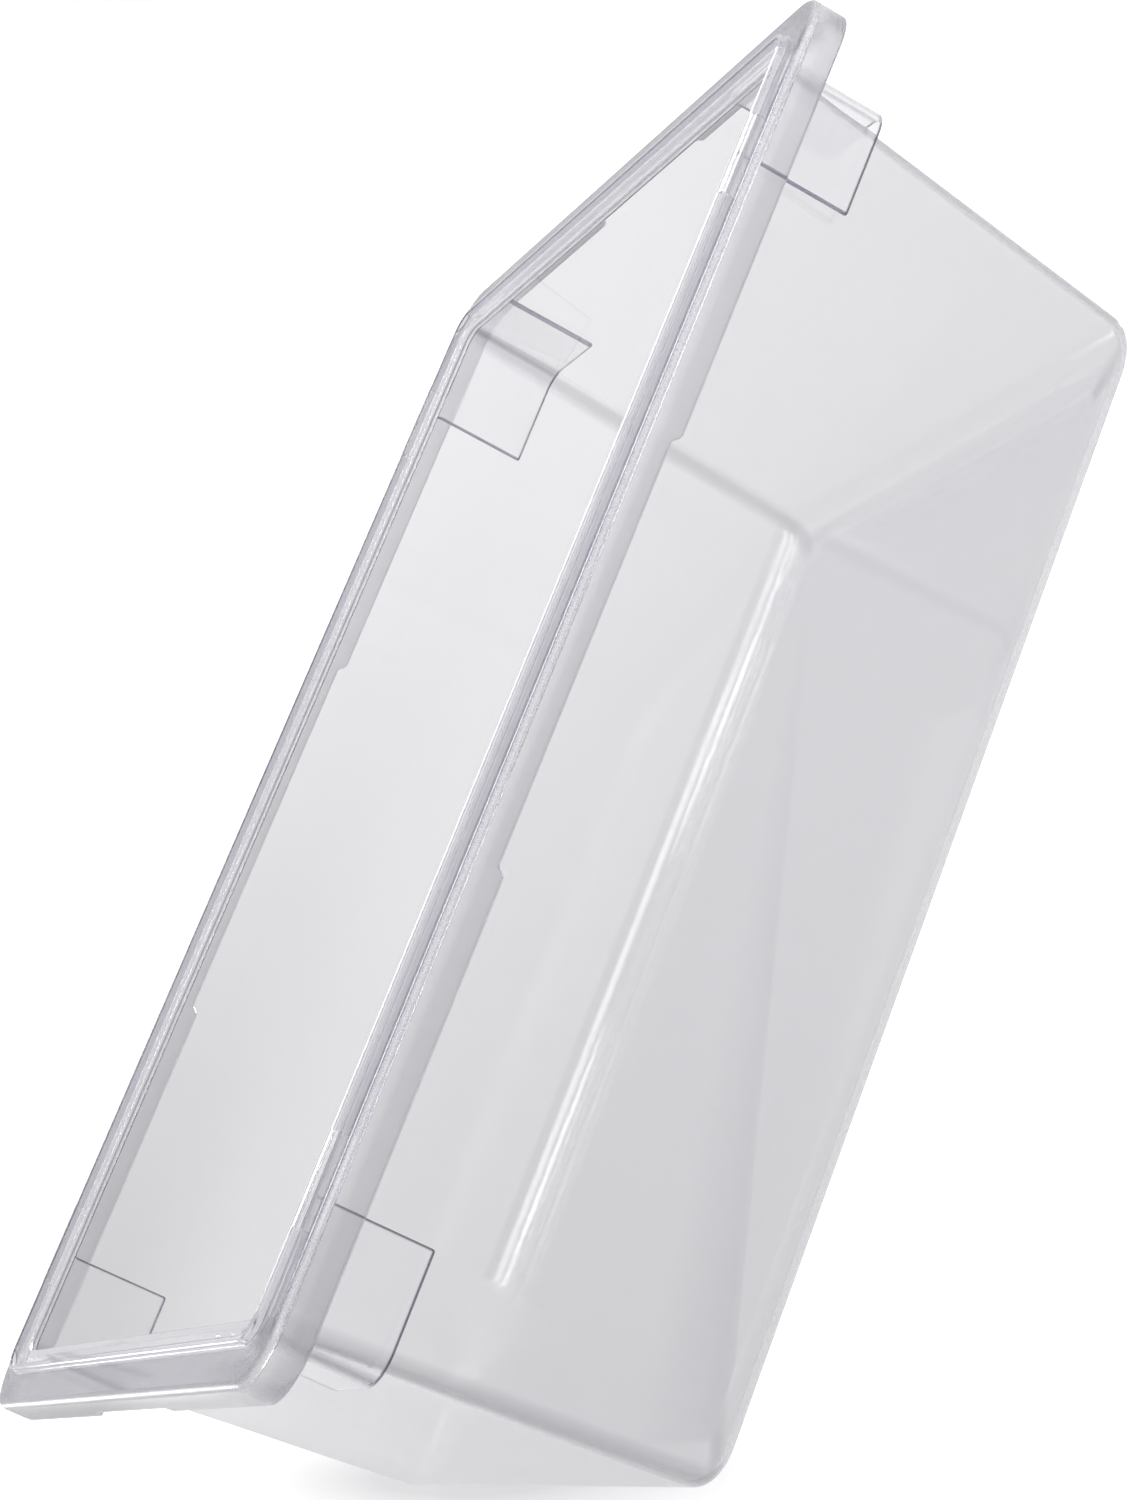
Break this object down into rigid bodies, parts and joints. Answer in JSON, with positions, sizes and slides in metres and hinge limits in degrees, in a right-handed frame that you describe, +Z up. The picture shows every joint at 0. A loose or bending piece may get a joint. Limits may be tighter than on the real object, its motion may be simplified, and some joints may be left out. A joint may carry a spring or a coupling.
{
  "type": "food storage box",
  "caption": "Clear rectangular food storage box: open tapered tub with a flanged rim, down-turned grip skirt, raised lid lip and L-shaped stacking lugs at the corners.",
  "frame": {"origin": "centre of the flat underside", "axes": "+X along the long side, +Y along the short side, +Z up through the open mouth"},
  "size_m": [0.66, 0.457, 0.2225],
  "materials": {
    "clear_wall": "clear moulded polycarbonate, polished inside, faint grey tint",
    "satin_rim": "clear polycarbonate with a fine satin texture",
    "clear_lug": "water-clear polished polycarbonate"
  },
  "bodies": {
    "root": {"tub_floor": "clear_wall", "floor_edge_front": "clear_wall", "floor_edge_back": "clear_wall", "floor_edge_left": "clear_wall", "floor_edge_right": "clear_wall", "wall_front": "clear_wall", "wall_back": "clear_wall", "wall_left": "clear_wall", "wall_right": "clear_wall", "corner_front_left": "clear_wall", "corner_front_right": "clear_wall", "corner_back_left": "clear_wall", "corner_back_right": "clear_wall", "rim_flange": "satin_rim", "rim_skirt": "satin_rim", "mouth_lip": "clear_wall", "catch_front_left": "clear_lug", "catch_front_right": "clear_lug", "catch_back_left": "clear_lug", "catch_back_right": "clear_lug", "lug_front_left": "clear_lug", "lug_front_right": "clear_lug", "lug_back_left": "clear_lug", "lug_back_right": "clear_lug"}
  },
  "joints": []
}
